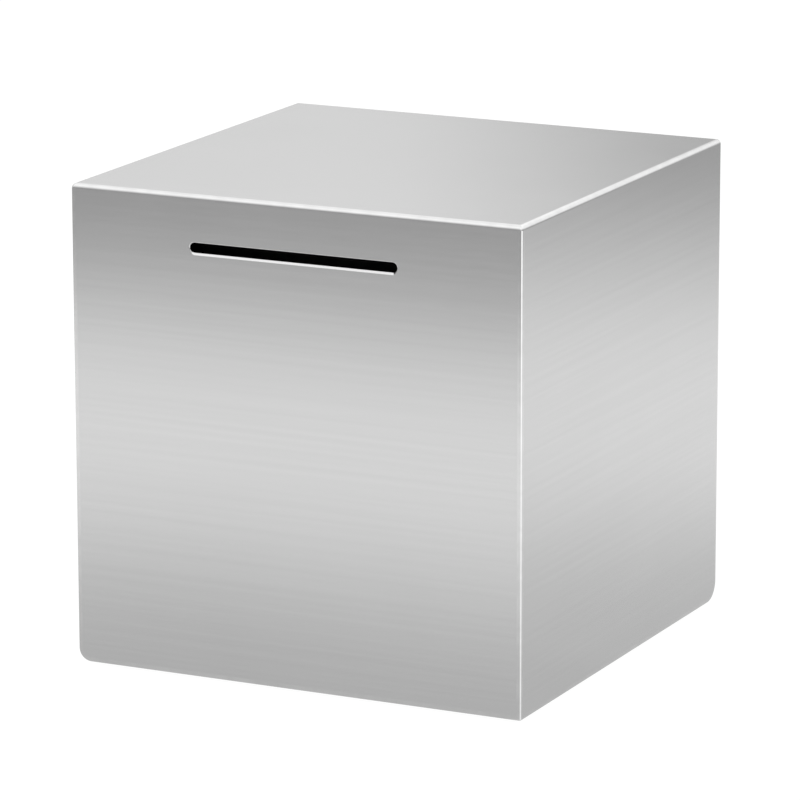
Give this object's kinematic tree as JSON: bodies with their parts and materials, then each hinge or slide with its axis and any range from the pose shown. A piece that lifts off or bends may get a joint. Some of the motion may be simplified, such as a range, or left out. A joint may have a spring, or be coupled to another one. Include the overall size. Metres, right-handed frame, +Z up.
{
  "type": "welded cube money box",
  "caption": "Closed cube of satin stainless-steel sheet, bent and welded, with one long round-ended money slot near the top of the front wall.",
  "frame": {"origin": "on the surface the box stands on, below the centre of the cube", "axes": "+X to the right, +Y to the rear, +Z up; the slot is in the wall that faces -Y"},
  "size_m": [0.2, 0.2, 0.202],
  "materials": {
    "satin_steel": "satin, brushed level with the base",
    "ground_weld": "ground and polished",
    "mill_steel": "dull mill finish",
    "raw_weld": "as welded",
    "foot_rubber": "fine matt grain",
    "adhesive": "matt"
  },
  "bodies": {
    "root": {"folded_shell": "satin_steel", "front_wall": "satin_steel", "right_wall": "satin_steel", "top_plate": "satin_steel", "top_weld_front": "ground_weld", "top_weld_right": "ground_weld", "top_weld_rear": "ground_weld", "top_weld_left": "ground_weld", "corner_weld_front_left": "ground_weld", "corner_weld_front_right": "ground_weld", "corner_weld_rear_right": "ground_weld", "corner_weld_rear_left": "ground_weld", "base_weld_front": "ground_weld", "base_weld_right": "ground_weld", "slot_guard": "mill_steel", "guard_plug_welds": "raw_weld", "foot_pad_front_left": "foot_rubber", "foot_pad_front_right": "foot_rubber", "foot_pad_rear_right": "foot_rubber", "foot_pad_rear_left": "foot_rubber", "foot_adhesive_front_left": "adhesive", "foot_adhesive_front_right": "adhesive", "foot_adhesive_rear_right": "adhesive", "foot_adhesive_rear_left": "adhesive"}
  },
  "joints": []
}
